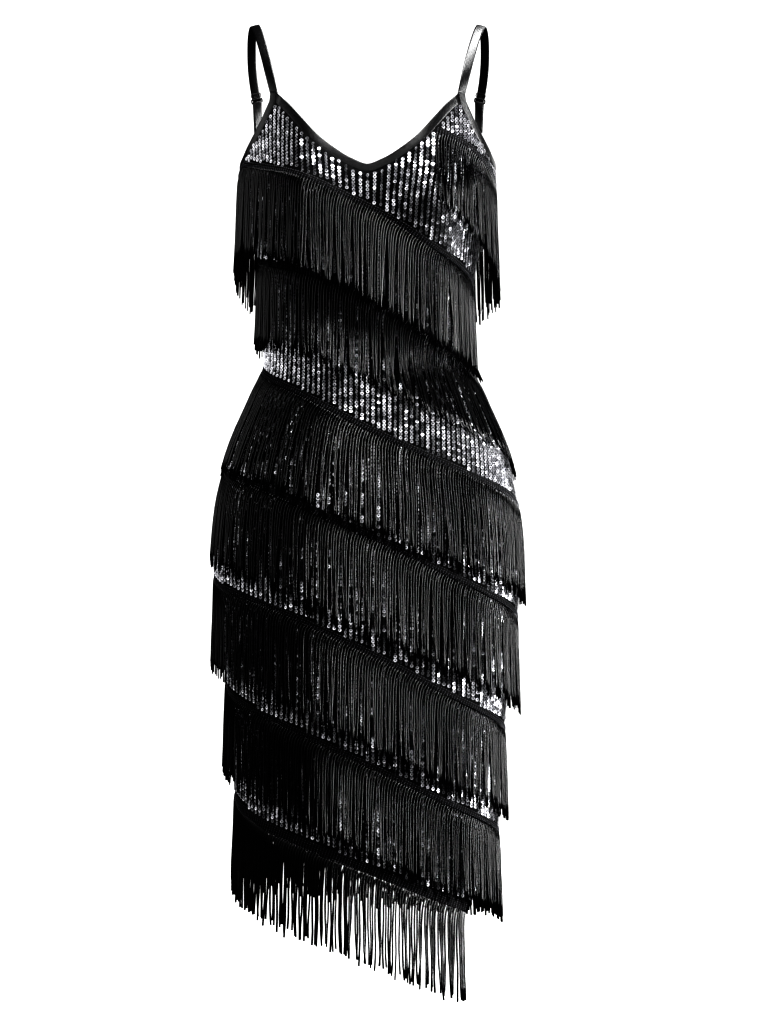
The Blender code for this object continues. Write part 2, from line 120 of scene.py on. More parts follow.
def formPoint(side, angle, height):
    angle, height = np.broadcast_arrays(np.asarray(angle, float), np.asarray(height, float))
    section = np.moveaxis(readTable(sectionTable, height), -1, 0)
    halfWidth, frontDepth, backDepth, frontSquare, backSquare = section
    depth, square = (frontDepth, frontSquare) if side == "front" else (backDepth, backSquare)
    power = 2 / square
    across = halfWidth * np.sign(angle) * np.abs(np.sin(angle)) ** power
    out = depth * np.maximum(np.cos(angle), 0) ** power
    if side == "front":
        reach = np.where(height > form["bustHeight"], form["bustUp"], form["bustDown"])
        beside = (np.abs(across) - form["bustAcross"]) / form["bustHalfSpan"]
        above = (height - form["bustHeight"]) / reach
        out = -out - form["bustFullness"] * np.exp(-(beside**2) - above**2)
    return np.stack([across, out, height], -1)


def lengthsAlong(line):
    return np.concatenate([[0], np.cumsum(np.linalg.norm(np.diff(line, axis=0), axis=1))])


def readLine(at, along, values):  # values are known at the places in along
    return np.stack([np.interp(at, along, column) for column in values.T], -1)


angleTable = np.linspace(-math.pi / 2, math.pi / 2, 721)
hipLength = lengthsAlong(formPoint("front", angleTable, form["hip"]))
shareTable = 2 * hipLength / hipLength[-1] - 1


def onForm(side, share, height):  # share runs from -1 at the left seam to 1 at the right one
    return formPoint(side, np.interp(share, shareTable, angleTable), height)


def unit(vectors):
    return vectors / np.linalg.norm(vectors, axis=-1, keepdims=True)


def formFrame(side, share, height):  # point, way across, outward normal
    share, height = np.broadcast_arrays(np.asarray(share, float), np.asarray(height, float))
    near = 0.003
    left, right = np.clip(share - near, -1, 1), np.clip(share + near, -1, 1)
    across = unit(onForm(side, right, height) - onForm(side, left, height))
    down = unit(onForm(side, share, height - 1) - onForm(side, share, height + 1))
    out = np.cross(down, across) if side == "front" else np.cross(across, down)
    return onForm(side, share, height), across, unit(out)


def shareAt(side, across, height):
    row = readTable(sectionTable, height)
    square = row[3] if side == "front" else row[4]
    angle = math.asin(min(abs(across) / row[0], 1) ** (square / 2))
    return math.copysign(float(np.interp(angle, angleTable, shareTable)), across)


def edgeTable(side):  # neckline and armhole, each a smooth curve, which meet in a corner under the strap
    rows = [(shareAt(side, *row), row[1]) for row in upperEdge[side][:-1]] + [(1.0, upperEdge[side][-1][1])]
    corner = cornerRow[side]
    neck = [(-share, height) for share, height in rows[corner:0:-1]] + rows[: corner + 1]
    return tableOf(neck), tableOf(rows[corner:])


edgeTables = {side: edgeTable(side) for side in ("front", "back")}
cornerShare = {side: shareAt(side, *upperEdge[side][cornerRow[side]]) for side in ("front", "back")}
slitShare = shareAt("front", slit["cornerAcross"], slit["cornerHeight"])


def topHeight(side, share):
    neck, armhole = edgeTables[side]
    share = np.abs(share)
    onNeck = share < cornerShare[side]
    return np.where(onNeck, readTable(neck, share)[..., 0], readTable(armhole, share)[..., 0])


def stripTop(levels, share):
    return readTable(tableOf(list(zip(stations, levels))), share)[..., 0]


def stripLine(side, levels, share):  # a strip's upper edge, kept below the cloth's own
    return np.minimum(stripTop(levels, share), topHeight(side, share) - leastBelowEdge)


def stripTall(name):
    return stripHeight["hem" if name.endswith("_7") else "tier"]


def backTiers():  # a back tier runs from its own front tier's left end to the right end of the one before
    made = []
    for (name, levels, _, lift), before, (sag, step, drop) in zip(frontTiers[1:], frontTiers, backSags):
        left, right = levels[0] - step, before[1][-1]
        heights = [left + (right - left) * (share + 1) / 2 - sag * (1 - share**2) for share in stations]
        made.append((name.replace("front", "back"), tuple(heights), drop, lift))
    return tuple(made)


tiers = {"front": frontTiers, "back": backTiers()}


def lowerHeight(side, share):
    share = np.asarray(share, float)
    levels = tiers[side][-1][1]
    hem = stripTop(levels, share) - slit["hemBelowStrip"]
    if side == "back":
        return hem
    across = onForm("front", share, slit["cornerHeight"])[..., 0]
    seam = readTable(sectionTable, slit["cornerHeight"])[0]
    rise = (across - slit["cornerAcross"]) / (seam - slit["cornerAcross"])
    corner = float(stripTop(levels, slitShare)) - slit["hemBelowStrip"]
    return np.where(share <= slitShare, hem, corner + rise * (slit["seamHeight"] - corner))


def hexColour(text):  # sRGB hex to linear
    parts = [int(text[n : n + 2], 16) / 255 for n in (1, 3, 5)]
    return tuple(p / 12.92 if p <= 0.04045 else ((p + 0.055) / 1.055) ** 2.4 for p in parts) + (1.0,)


def addNode(tree, kind, settings=None, links=None):
    node = tree.nodes.new("ShaderNode" + kind)
    for key, value in (settings or {}).items():
        if isinstance(key, int) or key in node.inputs:
            node.inputs[key].default_value = value
        else:
            setattr(node, key, value)
    for key, source in (links or {}).items():
        tree.links.new(source, node.inputs[key])
    return node


waveScale = 0.314  # a wave texture at this scale has a band every unit
lowColour, highColour, mixedColour = 6, 7, 2  # a mix node's colour sockets, whose names aren't unique


def newMaterial(name, settings):
    material = bpy.data.materials.new(name)
    material.use_nodes = True
    shader = material.node_tree.nodes["Principled BSDF"]
    for key, value in settings.items():
        shader.inputs[key].default_value = value
    material.diffuse_color = settings["Base Color"]
    return material, material.node_tree, shader


def finishPiece(piece, material, slot, *replaced):
    piece.data.materials.append(material)
    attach(piece, "root")
    if replaced:
        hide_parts(*replaced)
    return piece


def takeTemplate():  # reads the active object's mesh as arrays and removes the object
    piece = bpy.context.active_object
    mesh = piece.data
    points = np.array([v.co for v in mesh.vertices])
    faces = [tuple(p.vertices) for p in mesh.polygons]
    bpy.data.objects.remove(piece)
    bpy.data.meshes.remove(mesh)
    return points, faces


def tubeTemplate(sides, segments):  # a circle, drawn out one segment at a time, with both ends closed
    bpy.ops.mesh.primitive_circle_add(vertices=sides, radius=1, fill_type="NGON")
    bpy.ops.object.mode_set(mode="EDIT")
    bpy.ops.mesh.select_all(action="SELECT")
    for _ in range(segments):
        bpy.ops.mesh.extrude_region_move(TRANSFORM_OT_translate={"value": (0, 0, 1)})
    bpy.ops.mesh.select_all(action="SELECT")
    bpy.ops.mesh.normals_make_consistent(inside=False)
    bpy.ops.object.mode_set(mode="OBJECT")
    return takeTemplate()


def beadTemplate(segments, rings):
    bpy.ops.mesh.primitive_uv_sphere_add(segments=segments, ring_count=rings, radius=1)
    return takeTemplate()


def placed(shape, centres, *axes):  # a copy of the template at each centre, along its own axes
    points = centres[:, None]
    for number, axis in enumerate(axes):
        points = points + shape[None, :, number : number + 1] * axis[:, None]
    return points


def keptOutward(faces, first, second, third):  # left-handed axes would turn a copy inside out
    return [face[::-1] for face in faces] if np.cross(first, second) @ third < 0 else faces


def joinedMesh(name, points, faces, uvs=None, smooth=True):
    # points: copies x template points x 3, in millimetres; faces: the template's
    copies, each = points.shape[:2]
    sizes = np.array([len(face) for face in faces])
    loops = np.concatenate([np.array(face) for face in faces])
    allLoops = (loops[None, :] + np.arange(copies)[:, None] * each).ravel()
    allSizes = np.tile(sizes, copies)
    starts = np.concatenate([[0], np.cumsum(allSizes)[:-1]])
    mesh = bpy.data.meshes.new(name)
    mesh.vertices.add(copies * each)
    mesh.vertices.foreach_set("co", (points.reshape(-1, 3) * mm).astype(np.float32).ravel())
    mesh.loops.add(len(allLoops))
    mesh.loops.foreach_set("vertex_index", allLoops.astype(np.int32))
    mesh.polygons.add(len(allSizes))
    mesh.polygons.foreach_set("loop_start", starts.astype(np.int32))
    mesh.polygons.foreach_set("loop_total", allSizes.astype(np.int32))
    mesh.update(calc_edges=True)
    mesh.validate()
    if uvs is not None:
        layer = mesh.uv_layers.new(name="alongPiece")
        layer.data.foreach_set("uv", uvs.reshape(-1, 2)[allLoops].astype(np.float32).ravel())
    if smooth:
        mesh.shade_smooth()
    piece = bpy.data.objects.new(name, mesh)
    bpy.context.scene.collection.objects.link(piece)
    return piece


def sweep(name, template, centres, sideways, upward, halfWidth, halfThick, power=1.0, uvs=True):
    # template tubes drawn along many lines at once: centres is copies x levels x 3
    shape, faces = template
    faces = keptOutward(faces, sideways[0, 0], upward[0, 0], centres[0, 1] - centres[0, 0])
    level = np.rint(shape[:, 2]).astype(int)
    x, y = (np.sign(shape[:, axis]) * np.abs(shape[:, axis]) ** power for axis in (0, 1))
    wide, thick = (
        np.broadcast_to(np.asarray(half, float), centres.shape[:2])[:, level]
        for half in (halfWidth, halfThick)
    )
    points = centres[:, level] + sideways[:, level] * (x * wide)[..., None]
    points = points + upward[:, level] * (y * thick)[..., None]
    if not uvs:
        return joinedMesh(name, points, faces)
    lengths = np.array([lengthsAlong(line) for line in centres])
    uv = np.stack([np.broadcast_to(x / 2 + 0.5, points.shape[:2]), lengths[:, level]], -1)
    return joinedMesh(name, points, faces, uv)


def sweepOne(name, sides, line, sideways, upward, *shape, **options):
    tube = tubeTemplate(sides, len(line) - 1)
    return sweep(name, tube, line[None], sideways[None], upward[None], *shape, **options)


clothLook = {
    "black": hexColour("#020203"),
    "thread": hexColour("#060607"),
    "netPitch": 1.6,  # millimetres between threads, drawn a little coarse so that it shows
}


def clothMaterial():  # nylon power mesh, knitted: matt, with a faint glint from each thread
    settings = {"Base Color": clothLook["black"], "Roughness": 0.8, "Specular IOR Level": 0.15}
    material, tree, shader = newMaterial("knitted nylon mesh", settings)
    place = addNode(tree, "UVMap", {"uv_map": "alongPiece"})
    bands = {"wave_type": "BANDS", "Scale": waveScale / clothLook["netPitch"], "Distortion": 0.6}
    bands["Detail Scale"] = 2
    lines = []
    for turn in (0.6, -0.6):
        turned = addNode(tree, "Mapping", {"Rotation": (0, 0, turn)}, {"Vector": place.outputs["UV"]})
        lines.append(addNode(tree, "TexWave", bands, {"Vector": turned.outputs["Vector"]}).outputs["Fac"])
    net = addNode(tree, "Math", {"operation": "MAXIMUM"}, {0: lines[0], 1: lines[1]})
    thread = addNode(tree, "MapRange", {"From Min": 0.72, "From Max": 0.98}, {"Value": net.outputs[0]})
    colours = {"data_type": "RGBA", lowColour: clothLook["black"], highColour: clothLook["thread"]}
    colour = addNode(tree, "Mix", colours, {"Factor": thread.outputs["Result"]})
    tree.links.new(colour.outputs[mixedColour], shader.inputs["Base Color"])
    relief = {"Strength": 0.6, "Distance": 0.25 * mm}
    bump = addNode(tree, "Bump", relief, {"Height": thread.outputs["Result"]})
    tree.links.new(bump.outputs["Normal"], shader.inputs["Normal"])
    return material


def grainyMaterial(name, settings, scale, bump=None, rough=None, colours=None):
    # noise in the piece's own place, as a bump (strength, depth), a range of roughness or a mix of colours
    material, tree, shader = newMaterial(name, settings)
    place = addNode(tree, "TexCoord")
    grain = addNode(tree, "TexNoise", {"Scale": scale}, {"Vector": place.outputs["Object"]}).outputs["Fac"]
    if bump:
        relief = addNode(tree, "Bump", {"Strength": bump[0], "Distance": bump[1] * mm}, {"Height": grain})
        tree.links.new(relief.outputs["Normal"], shader.inputs["Normal"])
    if rough:
        dull = addNode(tree, "MapRange", {"To Min": rough[0], "To Max": rough[1]}, {"Value": grain})
        tree.links.new(dull.outputs["Result"], shader.inputs["Roughness"])
    if colours:
        low, high = [hexColour(text) for text in colours]
        mix = addNode(tree, "Mix", {"data_type": "RGBA", lowColour: low, highColour: high}, {"Factor": grain})
        tree.links.new(mix.outputs[mixedColour], shader.inputs["Base Color"])
    return material


def sequinMaterial():  # vacuum-metallised PET: a mirror finish on thin film, gunmetal, scuffed here and there
    film = {"Base Color": hexColour("#b9b9bd"), "Metallic": 1.0}
    material = grainyMaterial("metallised film sequin", film, 420, rough=(0.3, 0.46))
    tree = material.node_tree
    tone = addNode(tree, "Attribute", {"attribute_name": "tone"})
    tones = {"data_type": "RGBA", lowColour: hexColour("#77777c"), highColour: hexColour("#f0f0f4")}
    colour = addNode(tree, "Mix", tones, {"Factor": tone.outputs["Fac"]})
    tree.links.new(colour.outputs[mixedColour], tree.nodes["Principled BSDF"].inputs["Base Color"])
    return material


def strandMaterial(name, roughness, specular):  # rayon chainette: a chain-knitted cord with a silky gloss
    settings = {"Base Color": hexColour("#030304"), "Roughness": roughness, "Specular IOR Level": specular}
    material = grainyMaterial(name, settings, 60, colours=("#010102", "#050506"))
    tree = material.node_tree
    place = addNode(tree, "UVMap", {"uv_map": "alongPiece"})
    parts = addNode(tree, "SeparateXYZ", {}, {"Vector": place.outputs["UV"]})
    lean = addNode(tree, "Math", {"operation": "ADD"}, {0: parts.outputs["X"], 1: parts.outputs["Y"]})
    perStitch = 2 * math.pi / 1.3  # one stitch of the chain every 1.3 mm
    wave = addNode(tree, "Math", {"operation": "MULTIPLY", 1: perStitch}, {0: lean.outputs[0]})
    stitch = addNode(tree, "Math", {"operation": "SINE"}, {0: wave.outputs[0]})
    bump = addNode(tree, "Bump", {"Strength": 0.15, "Distance": 0.12 * mm}, {"Height": stitch.outputs[0]})
    tree.links.new(bump.outputs["Normal"], tree.nodes["Principled BSDF"].inputs["Normal"])
    return material


def satinMaterial(name, ribs):  # polyester satin elastic: smooth and glossy across, with fine ribs along it
    material, tree, shader = newMaterial(name, {"Base Color": hexColour("#050506"), "Roughness": 0.34})
    place = addNode(tree, "UVMap", {"uv_map": "alongPiece"})
    parts = addNode(tree, "SeparateXYZ", {}, {"Vector": place.outputs["UV"]})
    waves = []
    for socket, times in (("X", ribs), ("Y", 1 / 0.9)):  # ribs along it, weft threads 0.9 mm apart across it
        scaled = {"operation": "MULTIPLY", 1: 2 * math.pi * times}
        turns = addNode(tree, "Math", scaled, {0: parts.outputs[socket]})
        waves.append(addNode(tree, "Math", {"operation": "SINE"}, {0: turns.outputs[0]}).outputs[0])
    both = addNode(tree, "Math", {"operation": "ADD"}, {0: waves[0], 1: waves[1]})
    bump = addNode(tree, "Bump", {"Strength": 0.25, "Distance": 0.1 * mm}, {"Height": both.outputs[0]})
    tree.links.new(bump.outputs["Normal"], shader.inputs["Normal"])
    return material


black = hexColour("#030304")
looks = {
    "cloth": clothMaterial(),
    "sequin": sequinMaterial(),
    "strand": strandMaterial("rayon chainette", 0.2, 0.5),
    "strandPaintedShade": strandMaterial("rayon chainette in painted shade", 0.9, 0.05),  # painted shade: the same chainette made matt and almost without gloss, standing in for the shadow of the outer strands
    "tape": satinMaterial("polyester satin binding", 9),
    "strap": satinMaterial("satin strap elastic", 7),
    # cotton and rayon braid: matt beside the glossy strands
    "braid": grainyMaterial(
        "matt braid tape", {"Base Color": hexColour("#020202"), "Roughness": 0.8, "Specular IOR Level": 0.2},
        800, bump=(0.4, 0.1),
    ),
    # the chain stitches that hold the strands: black twisted rayon, painted grey as a painted highlight, with
    # paler patches at random
    "knotsPaintedHighlight": grainyMaterial(
        "twisted rayon stitches with painted highlight", {"Base Color": hexColour("#1c1c1f"), "Roughness": 0.35},
        250, colours=("#1c1c20", "#5c5c62"),
    ),
    # zinc die-casting, black lacquered: glossy, with duller spots
    "lacquer": grainyMaterial("black lacquered zinc", {"Base Color": black}, 300, rough=(0.38, 0.52)),
    # spun and dyed, so it has no gloss
    "thread": grainyMaterial(
        "polyester sewing thread", {"Base Color": black, "Roughness": 0.85, "Specular IOR Level": 0.2},
        900, bump=(0.3, 0.05),
    ),
}
print("materials made:", len(looks))


clothSettings = {"columns": 97, "rows": 101, "thickness": 0.8, "seamShare": 0.998}


def addCloth(side):
    bpy.ops.mesh.primitive_grid_add(
        x_subdivisions=clothSettings["columns"] - 1, y_subdivisions=clothSettings["rows"] - 1, size=2
    )
    piece = bpy.context.active_object
    piece.name = piece.data.name = f"{side}_cloth"
    flat = np.array([v.co for v in piece.data.vertices])
    column = np.abs(flat[:, 0])
    corner = column[np.abs(column - cornerShare[side]).argmin()]  # this column runs up into the corner
    reached = (0, cornerShare[side], clothSettings["seamShare"])
    share = np.sign(flat[:, 0]) * np.interp(column, (0, corner, 1), reached)
    down = (1 - flat[:, 1]) / 2
    height = topHeight(side, share) * (1 - down) + lowerHeight(side, share) * down
    points = onForm(side, share, height)
    piece.data.vertices.foreach_set("co", (points * mm).ravel())
    layer = piece.data.uv_layers.active
    layer.name = "alongPiece"
    owner = np.zeros(len(piece.data.loops), int)
    piece.data.loops.foreach_get("vertex_index", owner)
    spots = np.stack([share * hipLength[-1] / 2, height], -1)[owner]
    layer.data.foreach_set("uv", spots.astype(np.float32).ravel())
    if side == "back":
        piece.data.flip_normals()
    piece.data.update()
    wall = piece.modifiers.new("wall", "SOLIDIFY")
    wall.thickness = clothSettings["thickness"] * mm
    wall.offset = -1
    bpy.ops.object.modifier_apply(modifier="wall")
    bpy.ops.object.shade_smooth()
    piece.select_set(False)
    return finishPiece(piece, looks["cloth"], "sequin_mesh", f"{side}_panel")


cloths = {side: addCloth(side) for side in ("front", "back")}
print("cloth panels made")


sequinSettings = {
    "radius": 2.05, "hole": 0.42, "cup": 0.05, "lift": 1.2, "lean": 5,
    "stringPitch": 6.1, "mostStrings": 42, "seamMargin": 2,  # strings each side of the centre
    "rowPitch": 4.15, "measuredAt": 0.45, "heights": (-90, -1017),  # rows, spaced at this share
    "neckSpread": 24, "spreadAcross": 35, "spreadLevels": (-280, -80),  # strings fan out towards the V
    "sideLean": 0.0013, "sideLeanLevel": -180,
    "flatTurn": 8, "sharpAbove": 0.15, "sharpTurn": 46, "sharpSpread": 7,  # degrees, turned about the string
    "runKeep": 0.72,  # how much of its turn a sequin takes from the one above
    "mostYaw": 50, "mostRight": (23, 18), "sideYaw": (66, 56), "rightLevels": (-400, -310),
    "ownTurn": 4, "ownTip": 5, "ownHeight": 0.12,
    "tone": (0.62, 0.22), "edgeMargin": 2.2, "stripMargin": 1.6,
}


def sequinTemplate():  # a disc of eight sides with a hole, cupped
    bpy.ops.mesh.primitive_circle_add(vertices=8, radius=1, fill_type="NGON")
    bpy.ops.object.mode_set(mode="EDIT")
    bpy.ops.mesh.select_all(action="SELECT")
    bpy.ops.mesh.inset(thickness=(1 - sequinSettings["hole"]) * math.cos(math.pi / 8))
    bpy.ops.transform.translate(value=(0, 0, -sequinSettings["cup"]))
    bpy.ops.mesh.delete(type="FACE")
    bpy.ops.object.mode_set(mode="OBJECT")
    return takeTemplate()


def rowHeights(side):  # evenly spaced down the cloth itself, so rows lie closer where it slants
    s = sequinSettings
    heights = np.arange(*s["heights"], -1.0)
    along = lengthsAlong(onForm(side, s["measuredAt"], heights))
    return np.interp(np.arange(0, along[-1], s["rowPitch"]), along, heights)


def stringShares(side, height, strings):  # share of each string at one height
    s = sequinSettings
    shares = np.linspace(-1, 1, 241)
    along = lengthsAlong(onForm(side, shares, height))
    along -= np.interp(0, shares, along)
    place = strings * s["stringPitch"]
    if side == "front":
        low, high = s["spreadLevels"]
        near = min(max((height - low) / (high - low), 0), 1)
        place = place + near * s["neckSpread"] * np.tanh(place / s["spreadAcross"])
        place = place * (1 - s["sideLean"] * max(height - s["sideLeanLevel"], 0))
    found = np.interp(place, along, shares)
    inside = (place > along[0] + s["seamMargin"]) & (place < along[-1] - s["seamMargin"])
    return np.where(inside, found, np.nan)


def sequinPlaces(side, random):  # share, height and turn of every sequin, string by string
    s = sequinSettings
    strings = np.arange(-s["mostStrings"], s["mostStrings"] + 1)
    odd = strings % 2 == 1
    rows = rowHeights(side)
    run = random.normal(0, 1, len(strings))
    found = []
    for row, nextRow in zip(rows, rows[1:]):
        run = s["runKeep"] * run + math.sqrt(1 - s["runKeep"] ** 2) * random.normal(0, 1, len(strings))
        half = (row + nextRow) / 2
        share = np.where(odd, stringShares(side, half, strings), stringShares(side, row, strings))
        own = random.normal(0, 1, len(strings))
        turn = np.where(run > s["sharpAbove"], s["sharpTurn"] + s["sharpSpread"] * own, s["flatTurn"] * own)
        found.append(np.stack([share, np.where(odd, half, row), turn]))
    share, height, turn = np.concatenate(found, axis=1)
    inside = ~np.isnan(share)
    inside[inside] &= height[inside] < topHeight(side, share[inside]) - s["edgeMargin"]
    inside[inside] &= height[inside] > lowerHeight(side, share[inside]) + s["edgeMargin"]
    share, height, turn = share[inside], height[inside], turn[inside]
    bare = np.zeros(len(share), bool)
    for name, levels, _, _ in tiers[side]:  # none lies under a braid
        top = stripLine(side, levels, share)
        under = (height < top + s["stripMargin"]) & (height > top - stripTall(name) - s["stripMargin"])
        bare |= under & (share > shortTier["start"]) if name == "fringe_front_a" else under
    return share[~bare], height[~bare], turn[~bare]


def addSequins(side, seed):
    s = sequinSettings
    random = np.random.default_rng(seed)
    share, height, turn = sequinPlaces(side, random)
    count = len(share)
    place, across, out = formFrame(side, share, height + random.normal(0, s["ownHeight"], count))
    up = np.cross(across, out)
    up = np.where(up[:, 2:] < 0, -up, up)
    formYaw = np.degrees(np.arctan2(out[:, 0], np.abs(out[:, 1])))
    turn = np.minimum(turn, s["mostYaw"] + formYaw)  # none turns its back on the viewer
    mostRight = np.interp(height, s["rightLevels"], s["mostRight"])
    sideYaw = np.interp(height, s["rightLevels"], s["sideYaw"])
    turn = np.maximum(turn, formYaw - mostRight)
    turn = np.where(formYaw > sideYaw, 0, turn)  # at the side they lie with the cloth
    yaw = np.radians(turn + random.normal(0, s["ownTurn"], count))[:, None]
    tip = np.radians(s["lean"] + random.normal(0, s["ownTip"], count))[:, None]
    turned, facing = across * np.cos(yaw) + out * np.sin(yaw), out * np.cos(yaw) - across * np.sin(yaw)
    upward, facing = up * np.cos(tip) - facing * np.sin(tip), facing * np.cos(tip) + up * np.sin(tip)
    shape, faces = sequinShape
    faces = keptOutward(faces, turned[0], upward[0], facing[0])
    points = placed(shape * s["radius"], place + out * s["lift"], turned, upward, facing)
    piece = joinedMesh(f"{side}_sequins", points, faces, smooth=False)
    tone = piece.data.attributes.new("tone", "FLOAT", "POINT")
    tones = np.clip(random.normal(*s["tone"], count), 0, 1)
    tone.data.foreach_set("value", np.repeat(tones, len(shape)).astype(np.float32))
    print(f"{side} sequins:", count)
    return finishPiece(piece, looks["sequin"], "sequin_mesh")


sequinShape = sequinTemplate()
sequins = {side: addSequins(side, seed) for side, seed in (("front", 11), ("back", 12))}


fringeSettings = {
    "pitch": 3.25, "radius": 0.84, "thinnest": 0.85, "thickest": 1.1, "segments": 10,
    "sides": {"outer": 6, "inner": 4},
    "layers": (("outer", 2.8, 1.0), ("inner", 1.7, 0.35)),  # stand-off from the cloth, share of the lift
    "underBraid": 0.8,  # how far the strands' heads reach up behind the braid
    "rootJitter": 0.05, "rootOut": 1.5, "outReach": 4, "outSpread": 0.4,
    "lean": 1.7, "leanReach": 7, "steepest": 0.9, "slopeReach": 0.02,  # a strand first leans down the slope
    "clumpPitch": 14, "clumpSpread": (0.6, 1.4), "mostClumps": 200, "clumpPull": 0.6, "pullPower": 1.3,
    "drift": 1.3, "driftPower": 1.8, "wave": 0.5, "waveLength": 80, "formRadius": 70,
    "tipSpread": 2.2, "shortShare": 0.06, "shortBy": 8, "middleDrop": 11, "innerShort": 9, "leastPart": 0.3,
    "seamShare": 0.995, "slitMargin": 0.004,
}
hemFringe = {
    "pitch": 3.1, "radius": 1.3, "clumpPull": 0.3, "drift": 1.2,
    "wave": 0.7, "waveLength": 70, "tipSpread": 3,
}
lowerInMiddle = tuple(f"fringe_front_{n}" for n in (3, 4, 5, 6))
selvedge = (0.8, 2.2, 3.8, 5.4)  # more strands close together where the front's hem fringe ends
strandTimes = np.array((0, 0.025, 0.06, 0.11, 0.18, 0.28, 0.42, 0.56, 0.7, 0.85, 1.0))
strandTubes = {
    layer: tubeTemplate(sides, fringeSettings["segments"]) for layer, sides in fringeSettings["sides"].items()
}


def stripPath(side, levels, first, last, spacing, below):  # even steps: shares, heights, lengths
    shares = np.linspace(first, last, 801)
    heights = stripLine(side, levels, shares) - below
    along = lengthsAlong(onForm(side, shares, heights))
    steps = np.linspace(0, along[-1], max(int(round(along[-1] / spacing)), 2) + 1)
    found = np.interp(steps, along, shares)
    return found, np.interp(found, shares, heights), steps


def hangFree(base, across, out):  # from the widest place on its way, a strand hangs straight down
    reach = np.hypot(base[..., 0], base[..., 1])
    widest = np.zeros_like(reach, int)
    for level in range(1, reach.shape[1]):
        before = np.take_along_axis(reach, widest[:, level - 1 : level], 1)[:, 0]
        widest[:, level] = np.where(reach[:, level] > before + 1e-9, level, widest[:, level - 1])
    free = (widest < np.arange(reach.shape[1]))[..., None]
    index = np.broadcast_to(widest[..., None], base.shape)
    hung, across, out = (np.take_along_axis(values, index, 1) for values in (base, across, out))
    hung[..., 2] = base[..., 2]
    level = np.array((1, 1, 0))
    return hung, unit(across * level), np.where(free, unit(out * level), out)


def hangStrands(side, tier, layer, s, random, clumps, first, last):
    name, levels, drop, lift = tier
    below = stripTall(name) - s["underBraid"]
    share, _, along = stripPath(side, levels, first, last, s["pitch"], below)
    if name == "fringe_front_7":
        more = along[-1] - np.array(selvedge)
        share, along = np.append(share, np.interp(more, along, share)), np.append(along, more)
    count = len(share)
    place = random.normal(0, s["rootJitter"], count) + (0.5 if layer[0] == "inner" else 0)
    share = np.clip(share + (share[1] - share[0]) * place, first, last)
    root = stripLine(side, levels, share) - below
    ends = [np.clip(share + step, first, last) for step in (s["slopeReach"], -s["slopeReach"])]
    rise = stripTop(levels, ends[0]) - stripTop(levels, ends[1])
    apart = np.abs(onForm(side, ends[0], root)[:, 0] - onForm(side, ends[1], root)[:, 0])
    slope = np.clip(rise / np.maximum(apart, 0.5), -s["steepest"], s["steepest"])
    length = drop - below + random.normal(0, s["tipSpread"], count) - s["innerShort"] * (layer[0] == "inner")
    short = random.random(count) < s["shortShare"]
    length = length - short * random.uniform(s["leastPart"], 1, count) * s["shortBy"]
    if name in lowerInMiddle:
        length = length + s["middleDrop"] * (1 - share**2)
    if name == "fringe_front_a":  # its strands grow longer towards the side
        length = length + shortTier["longer"] * ((share - first) / (last - first)) ** 2
    depth = strandTimes[None, :] * length[:, None]
    hung, across, out = hangFree(*formFrame(side, share[:, None], root[:, None] - depth))
    t = strandTimes[None, :]
    nearest = clumps[np.abs(clumps[None, :] - along[:, None]).argmin(1)]
    pull = (nearest - along) * random.uniform(s["leastPart"], 1, count) * s["clumpPull"]
    drift = random.normal(0, s["drift"], count)
    phase = random.uniform(0, 2 * math.pi, (count, 1))
    turns = 2 * math.pi * depth / s["waveLength"]
    sideways = slope[:, None] * s["lean"] * s["leanReach"] * (1 - np.exp(-depth / s["leanReach"]))
    sideways = sideways + pull[:, None] * t ** s["pullPower"] + drift[:, None] * t ** s["driftPower"]
    sideways = sideways + s["wave"] * t * np.sin(turns + phase)
    standOff = layer[1] + lift * layer[2] * t + np.abs(random.normal(0, s["outSpread"], count))[:, None] * t
    standOff = standOff - (layer[1] - s["rootOut"]) * np.exp(-depth / s["outReach"])
    standOff = standOff + s["wave"] / 2 * t * np.sin(turns + 2 * phase)
    rounding = sideways**2 / (2 * s["formRadius"])  # keeps a strand that drifts near the round form
    centre = hung + across * sideways[..., None] + out * (standOff - rounding)[..., None]
    way = unit(np.gradient(centre, axis=1))
    wide = unit(np.cross(way, out))
    front = np.cross(wide, way)
    front *= np.sign((front * out).sum(-1, keepdims=True))
    thick = s["radius"] * random.uniform(s["thinnest"], s["thickest"], (count, 1))
    return centre, wide, front, thick


def addFringe(side, tier, seed):
    name = tier[0]
    random = np.random.default_rng(seed)
    s = {**fringeSettings, **(hemFringe if name.endswith("_7") else {})}
    first = shortTier["start"] if name == "fringe_front_a" else -s["seamShare"]
    last = slitShare - s["slitMargin"] if name == "fringe_front_7" else s["seamShare"]
    clumps = np.cumsum(random.uniform(*s["clumpSpread"], s["mostClumps"])) * s["clumpPitch"]
    layers = s["layers"][:1] if name == "fringe_front_7" else s["layers"]
    made = []
    for layer in layers:
        centre, wide, front, thick = hangStrands(side, tier, layer, s, random, clumps, first, last)
        tubes = strandTubes[layer[0]]
        strands = sweep(f"{name}_{layer[0]}_strands", tubes, centre, wide, front, thick, thick)
        # the inner layer takes the copy of the chainette with painted shade, the outer one the glossy copy
        look, replaced = (looks["strand"], [name]) if layer[0] == "outer" else (looks["strandPaintedShade"], [])
        made.append(finishPiece(strands, look, "chainette_fringe", *replaced))
    return made + [addBraid(side, tier, first, last)]


braidSettings = {
    "thickness": 1.0, "lift": 1.1, "step": 6.0, "edge": 0.3, "sides": 8, "roundness": 0.6,
    "knotPitch": 3.25, "knotInset": 0.7, "lean": 0.35,
    "knotLength": 0.9, "knotWidth": 0.62, "knotBulge": 0.75,
    "rows": (0.86, -0.1, -0.78), "hemRows": (0.9, 0.42, -0.02, -0.45, -0.86),
}


knotShape = beadTemplate(4, 2)  # one twist of the braid


